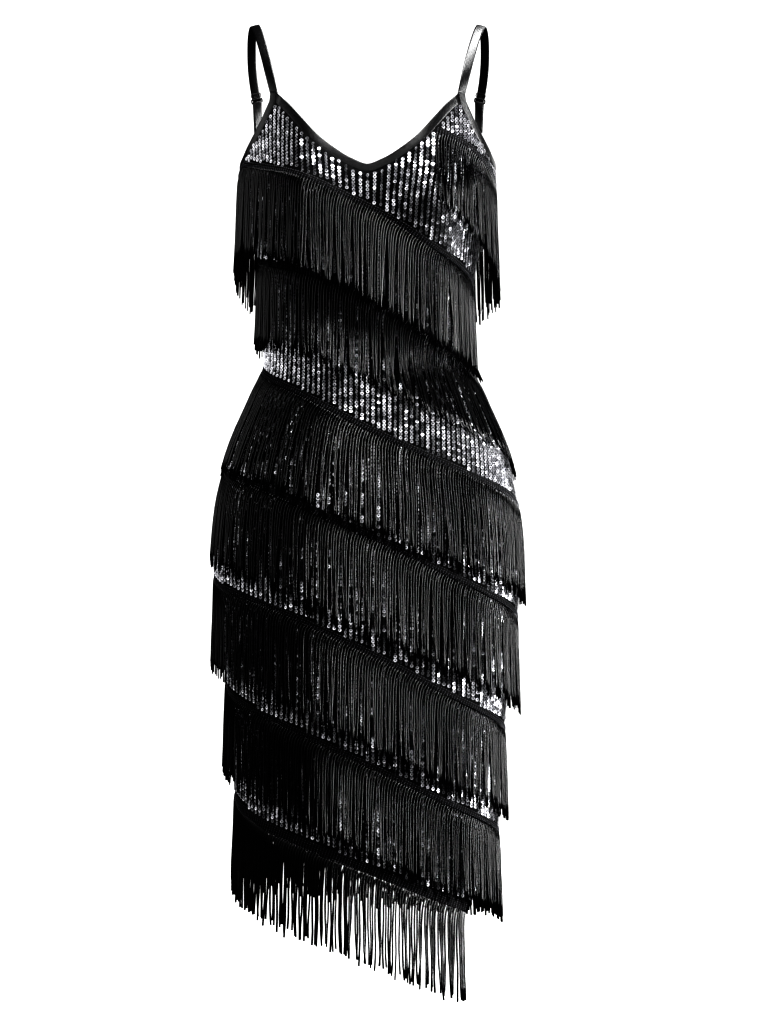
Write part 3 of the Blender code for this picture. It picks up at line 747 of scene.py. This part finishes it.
def braidLine(side, tier, first, last, spacing, lift):
    name, levels = tier[:2]
    share, height, _ = stripPath(side, levels, first, last, spacing, stripTall(name) / 2)
    place, _, out = formFrame(side, share, height)
    centre = place + out * lift
    way = unit(np.gradient(centre, axis=0))
    upward = unit(np.cross(way, out))
    return centre, way, upward * np.sign(upward[:, 2:]), out


def addBraid(side, tier, first, last):
    s = braidSettings
    name = tier[0]
    half = stripTall(name) / 2
    centre, _, upward, out = braidLine(side, tier, first, last, s["step"], s["lift"])
    sizes = half - s["edge"], s["thickness"] / 2, s["roundness"]
    tape = sweepOne(f"{name}_tape", s["sides"], centre, upward, out, *sizes)
    finishPiece(tape, looks["braid"], "chainette_fringe")
    knotLift = s["lift"] + s["thickness"] / 2
    centre, way, upward, out = braidLine(side, tier, first, last, s["knotPitch"], knotLift)
    shape, faces = knotShape
    longWay = unit(upward + way * s["lean"])
    shortWay = np.cross(longWay, out)
    axes = longWay * s["knotLength"], shortWay * s["knotWidth"], out * s["knotBulge"]
    copies = [
        placed(shape, centre + upward * row * (half - s["knotInset"]), *axes)
        for row in s["hemRows" if name.endswith("_7") else "rows"]
    ]
    faces = keptOutward(faces, longWay[0], shortWay[0], out[0])
    # the knots wear the grey of the painted highlight
    knotsPaintedHighlight = joinedMesh(f"{name}_braid", np.concatenate(copies), faces)
    return finishPiece(knotsPaintedHighlight, looks["knotsPaintedHighlight"], "chainette_fringe")


fringes = {}
for side, sideSeed in (("front", 100), ("back", 200)):
    fringes[side] = []
    for number, tier in enumerate(tiers[side]):
        fringes[side] += addFringe(side, tier, sideSeed + number)
    print(f"{side} fringe tiers made:", len(tiers[side]))


tapeSettings = {
    "width": 8.4, "thickness": 2.2, "sides": 16, "roundness": 0.45,
    "cloth": 1.5, "gap": 0.45, "seam": 0.3, "samples": 60,
    "lap": 1.2,  # its lower edge folds over the cloth's
    "stitchedAt": 1.3,
    "rise": {"front": 12.5, "back": 12.6},  # how far the armhole's tape goes on past the corner
    "riseWay": {"front": (-0.1, 0.1, 0.99), "back": (0.02, -0.12, 0.99)},
}


def edgeLine(side, low, high):
    share = np.linspace(low, high, tapeSettings["samples"])
    place, _, out = formFrame(side, share, topHeight(side, share))
    return place, out


def addTape(name, line, out, ends=()):
    s = tapeSettings
    beyond = unit(np.cross(np.gradient(line, axis=0), out))
    beyond *= np.sign(beyond[len(line) // 2, 2])
    for row, way in zip((0, -1), ends):
        beyond[row] = way / (way @ beyond[row])
    middle = line + beyond * (s["gap"] + (s["width"] - s["lap"]) / 2) - out * s["cloth"] / 2
    half = np.linalg.norm(beyond, axis=1) * (s["width"] + s["lap"]) / 2
    sizes = half, s["thickness"] / 2, s["roundness"]
    tape = sweepOne(f"{name}_satin", s["sides"], middle, unit(beyond), out, *sizes)
    finishPiece(tape, looks["tape"], "satin_tape", name)
    stitched = line + beyond * (s["gap"] + s["stitchedAt"])
    addStitches(f"{name}_stitches", stitched, out, (s["thickness"] - s["cloth"]) / 2)
    return line + beyond * s["gap"], line + beyond * (s["gap"] + s["width"])


stitchSettings = {"length": 2.2, "gap": 0.9, "half": 0.1}
stitchShape = beadTemplate(6, 4)


def addStitches(name, line, out, lift):
    s = stitchSettings
    along = lengthsAlong(line)
    pitch = s["length"] + s["gap"]
    starts = np.arange(pitch, along[-1] - pitch, pitch)
    face = unit(readLine(starts, along, out))
    centre = readLine(starts, along, line) + face * lift
    way = unit(readLine(starts + 0.5, along, line) - readLine(starts - 0.5, along, line))
    side = unit(np.cross(way, face))
    shape, faces = stitchShape
    points = placed(shape, centre, side * s["half"], face * s["half"], way * s["length"] / 2)
    stitches = joinedMesh(name, points, keptOutward(faces, side[0], face[0], way[0]))
    finishPiece(stitches, looks["thread"], "satin_tape")


riseParts = (0.25, 0.5, 0.75, 1)


def addBindings():  # gives the place and width way of each tape's end, where a strap or tab is sewn on
    ends, rises = {}, {}
    for side, sign in (("left", -1), ("right", 1)):
        halves = {}
        for place in ("front", "back"):
            low, high = sorted((sign * cornerShare[place], float(sign)))
            line, out = edgeLine(place, low, high)
            if sign > 0:
                line, out = line[::-1], out[::-1]
            way = np.array(tapeSettings["riseWay"][place]) * (sign, 1, 1)
            rise = unit(way - (way @ out[-1]) * out[-1])
            rises[place, sign] = rise
            on = [line[-1] + rise * tapeSettings["rise"][place] * part for part in riseParts]
            halves[place] = np.vstack([line, on]), np.vstack([out] + [out[-1:]] * len(riseParts))
        line = np.vstack([halves["back"][0][:0:-1], halves["front"][0]])
        out = np.vstack([halves["back"][1][:0:-1], halves["front"][1]])
        line, out = evened(line, out)
        lower, upper = addTape(f"armhole_binding_{side}", line, out)
        for place, row in (("front", -1), ("back", 0)):
            middle = (lower[row] + upper[row] - out[row] * tapeSettings["cloth"]) / 2
            ends[place, sign] = middle, unit(upper[row] - lower[row]) * sign
    for place, name in (("front", "neckline_binding"), ("back", "back_neck_binding")):
        line, out = edgeLine(place, -cornerShare[place], cornerShare[place])
        addTape(name, line, out, [rises[place, -1], rises[place, 1]])
    return ends


def evened(line, out):  # softens the kinks between straight stretches and spaces the points evenly
    for _ in range(2):
        line[1:-1] = (line[:-2] + 2 * line[1:-1] + line[2:]) / 4
        out[1:-1] = unit(out[:-2] + 2 * out[1:-1] + out[2:])
    along = lengthsAlong(line)
    steps = np.linspace(0, along[-1], 2 * tapeSettings["samples"])
    return readLine(steps, along, line), unit(readLine(steps, along, out))


strapEnds = addBindings()
print("bindings made")

strapSettings = {
    "width": 10.4, "thickness": 1.4, "sides": 12, "roundness": 0.5,
    "stepsEach": 6, "bendSteps": 9, "gap": 0.1, "wireSides": 10,
    "sewnIn": 4, "firstTurn": 16,  # how far its root reaches into the tape and over what length it turns
    "route": (
        (109, -73, -67), (114, -61, -46), (120, -44, -24), (126, -22, -6), (130, 0, 0.7),
        (133, 20, -6), (134.5, 39, -20), (134.5, 53, -40), (133, 60, -56), (131, 65, -69),
    ),
    "frontFacing": (0.83, 0.55, 0), "crestFacing": (0.96, 0, -0.27), "crestAt": 0.3, "turn": 0.35,
    "ringHalfWidth": 6.3, "ringHalfHeight": 2.4, "ringCorner": 1.4, "ringWire": 0.8, "ringBelow": 4.0,
    "sliderWidth": 12.4, "sliderHeight": 5.6, "sliderCorner": 1.6, "sliderWire": 0.52, "barWire": 0.468,
    "tailGap": 0.5, "tabNeck": 8, "tabGap": 0.05, "tabStitches": (-3.9, 3.9, 9), "tabRows": (0, 1.3),
}


def smoothRoute(points, steps):
    places = lengthsAlong(points)
    slopes = np.gradient(points, places, axis=0)
    run = []
    for n, step in enumerate(np.diff(places)):
        for t in np.arange(steps) / steps:
            run.append(hermite(t, step, points[n], slopes[n], points[n + 1], slopes[n + 1]))
    return np.array(run + [points[-1]])


def halfTurn(centre, radius, start, end):
    angles = np.linspace(0, math.pi, strapSettings["bendSteps"])
    return [centre + radius * (math.cos(a) * start + math.sin(a) * end) for a in angles]


def addRibbon(name, middle, widths, replaced):
    s = strapSettings
    middle, widths = np.array(middle, float), np.array(widths, float)
    along = unit(np.gradient(middle, axis=0))
    widths = unit(widths - along * (along * widths).sum(1, keepdims=True))
    face = np.cross(widths, along)
    sizes = s["width"] / 2, s["thickness"] / 2, s["roundness"]
    ribbon = sweepOne(name, s["sides"], middle, widths, face, *sizes)
    finishPiece(ribbon, looks["strap"], "satin_tape", replaced)


def addStrap(side, sign):
    s = strapSettings
    start, startWidth = strapEnds["front", sign]
    route = np.array(s["route"]) * (sign, 1, 1)
    start = start - unit(route[0] - start) * s["sewnIn"]
    run = smoothRoute(np.vstack([start, route]), s["stepsEach"])
    down = unit(run[-1] - run[-2])
    wide = np.array([1, -s["turn"] * sign, 0])
    wide = unit(wide - (wide @ down) * down)
    out = np.cross(wide, down)
    out = out * math.copysign(1, out[1])
    wrap = s["ringWire"] + tapeSettings["seam"] + s["thickness"] / 2 + s["gap"]
    bar = run[-1] + down * s["ringBelow"] - out * wrap
    loop = halfTurn(bar, wrap, out, down)
    tail = loop[-1] - down * (s["ringBelow"] - s["sliderHeight"] / 2 - s["tailGap"])
    facing = [np.array(s[place]) * (1, sign, sign) for place in ("frontFacing", "crestFacing")]
    widths = readLine(np.linspace(0, 1, len(run)), (0, s["crestAt"], 1), np.array(facing + [wide]))
    turned = np.clip(lengthsAlong(run) / s["firstTurn"], 0, 1)[:, None]
    turned = 3 * turned**2 - 2 * turned**3
    widths = list(startWidth * (1 - turned) + widths * turned) + [wide] * (len(loop) + 1)
    addRibbon(f"{side}_strap_elastic", list(run) + loop + [tail], widths, f"strap_{side}")
    addSlider(side, run[-1] - out * wrap, wide, down, out)
    addRing(side, bar + down * s["ringHalfHeight"], wide, down, out)
    addTab(side, bar + down * 2 * s["ringHalfHeight"], wide, strapEnds["back", sign], wrap)


def wireLoop(name, corners, middle, wide, down, out, wire):
    line = np.array([middle + wide * x + down * y for x, y in corners])
    along = unit(np.gradient(np.vstack([line[-2:], line, line[:2]]), axis=0))[2:-2]
    side = unit(np.cross(along, out))
    facing = np.broadcast_to(out, line.shape)
    return sweepOne(name, strapSettings["wireSides"], line, side, facing, wire, wire, uvs=False)


def roundedBox(halfWidth, halfHeight, corner, steps=6):
    spots = []
    for quarter, (sx, sy) in enumerate(((1, 1), (-1, 1), (-1, -1), (1, -1))):
        for step in range(steps + 1):
            angle = math.radians(90 * (quarter + step / steps))
            x = sx * (halfWidth - corner) + corner * math.cos(angle)
            spots.append((x, sy * (halfHeight - corner) + corner * math.sin(angle)))
    return spots + spots[:1]


def addRing(side, middle, wide, down, out):
    s = strapSettings
    box = roundedBox(s["ringHalfWidth"], s["ringHalfHeight"], s["ringCorner"])
    ring = wireLoop(f"{side}_strap_ring", box, middle, wide, down, out, s["ringWire"])
    finishPiece(ring, looks["lacquer"], "strap_hardware", f"ring_{side}")


def addSlider(side, middle, wide, down, out):
    s = strapSettings
    wire = s["sliderWire"]
    halfWidth, halfHeight = s["sliderWidth"] / 2 - wire, s["sliderHeight"] / 2 - wire
    box = roundedBox(halfWidth, halfHeight, s["sliderCorner"])
    slider = wireLoop(f"{side}_strap_slider", box, middle, wide, down, out, wire)
    across = [(x, 0) for x in np.linspace(-halfWidth, halfWidth, 5)]
    bar = wireLoop(f"{side}_slider_bar", across, middle, wide, down, out, s["barWire"])
    bpy.ops.object.select_all(action="DESELECT")
    bar.select_set(True)
    slider.select_set(True)
    bpy.context.view_layer.objects.active = slider
    bpy.ops.object.join()
    finishPiece(slider, looks["lacquer"], "strap_hardware", f"slider_{side}")


def faceOf(width, way):
    face = unit(np.cross(width, way))
    return face * math.copysign(1, face[1])


def addTab(side, bar, wide, footEnd, wrap):
    s = strapSettings
    foot, footWidth = footEnd
    way = unit(foot - bar)
    neck = bar + way * s["tabNeck"]
    neckWidth = unit(footWidth + 2 * wide)
    near = (s["thickness"] + tapeSettings["seam"]) / 2 + s["tabGap"]
    over = halfTurn(bar, wrap, faceOf(wide, way), -way)
    outer, inner, widths = [], [], []
    for at in np.linspace(1, 0, 6):  # from the foot up to the neck, turning as it goes
        width = unit(footWidth * at + neckWidth * (1 - at))
        place, off = foot * at + neck * (1 - at), faceOf(width, way) * near
        outer.append(place + off)
        inner.append(place - off)
        widths.append(width)
    widths = widths + [wide] * len(over) + widths[::-1]
    addRibbon(f"{side}_back_tab", outer + over + inner[::-1], widths, f"strap_tab_{side}")
    face = faceOf(neckWidth, way)
    for number, row in enumerate(s["tabRows"]):  # two rows of stitches hold the folded end
        line = neck + way * row + face * near
        spots = np.array([line + neckWidth * x for x in np.linspace(*s["tabStitches"])])
        facing = np.broadcast_to(face, spots.shape).copy()
        addStitches(f"{side}_tab_stitches_{number + 1}", spots, facing, s["thickness"] / 2)


for strapSide, strapSign in (("left", -1), ("right", 1)):
    addStrap(strapSide, strapSign)
print("straps, sliders, rings and tabs made")


studio = {
    "floorHeight": -1.6, "floorSize": 12, "white": 1.0, "dim": 0.03,
    "key": {"at": (2.7, -0.8, -0.55), "size": (0.5, 1.9), "power": 145},
    "left": {"at": (-2.6, -0.1, 0.3), "size": (2.0, 2.0), "power": 18},
    "front": {"at": (-0.5, -3.6, 0.5), "size": (2.0, 1.6), "power": 25},
    "top": {"at": (0.5, -0.2, 1.6), "size": (2.6, 0.6), "power": 92},
    "back": {"at": (1.2, 2.4, 0.6), "size": (1.2, 1.6), "power": 12},
    "aim": (0, 0, -0.5),
    "camera": (0.0182, -3.4, -0.553), "lens": 104.85,
}

bpy.ops.mesh.primitive_plane_add(size=studio["floorSize"], location=(0, 0, studio["floorHeight"]))
floor = bpy.context.active_object
floor.name = "studio_floor"
white = hexColour("#ffffff")
floor.data.materials.append(newMaterial(
    "matt studio paint",
    {"Base Color": white, "Roughness": 0.9, "Emission Color": white, "Emission Strength": 1.0},
)[0])
floor.visible_diffuse = False
floor.visible_glossy = False

world = bpy.data.worlds.new("studio")
bpy.context.scene.world = world
world.use_nodes = True
worldTree = world.node_tree
worldTree.nodes.clear()
seen = addNode(worldTree, "Background", {"Color": white, "Strength": studio["white"]})
dim = addNode(worldTree, "Background", {"Color": white, "Strength": studio["dim"]})
path = addNode(worldTree, "LightPath")
mixed = addNode(
    worldTree, "MixShader", {},
    {0: path.outputs["Is Camera Ray"], 1: dim.outputs[0], 2: seen.outputs[0]},
)
addNode(worldTree, "OutputWorld", {}, {"Surface": mixed.outputs[0]})


def addLight(name, spec):
    bpy.ops.object.light_add(type="AREA", location=spec["at"])
    lamp = bpy.context.active_object
    lamp.name = name
    lamp.data.shape = "RECTANGLE"
    lamp.data.size, lamp.data.size_y = spec["size"]
    lamp.data.energy = spec["power"]
    way = Vector(studio["aim"]) - Vector(spec["at"])
    lamp.rotation_euler = way.to_track_quat("-Z", "Y").to_euler()


for lightName in ("key", "left", "front", "top", "back"):
    addLight(f"{lightName}_light", studio[lightName])

bpy.ops.object.camera_add(location=studio["camera"], rotation=(math.pi / 2, 0, 0))
camera = bpy.context.active_object
camera.data.lens = studio["lens"]
camera.data.sensor_width = 36
bpy.context.scene.camera = camera
bpy.context.scene.view_settings.view_transform = "Standard"
bpy.context.scene.view_settings.look = "Very High Contrast"
print("studio made")
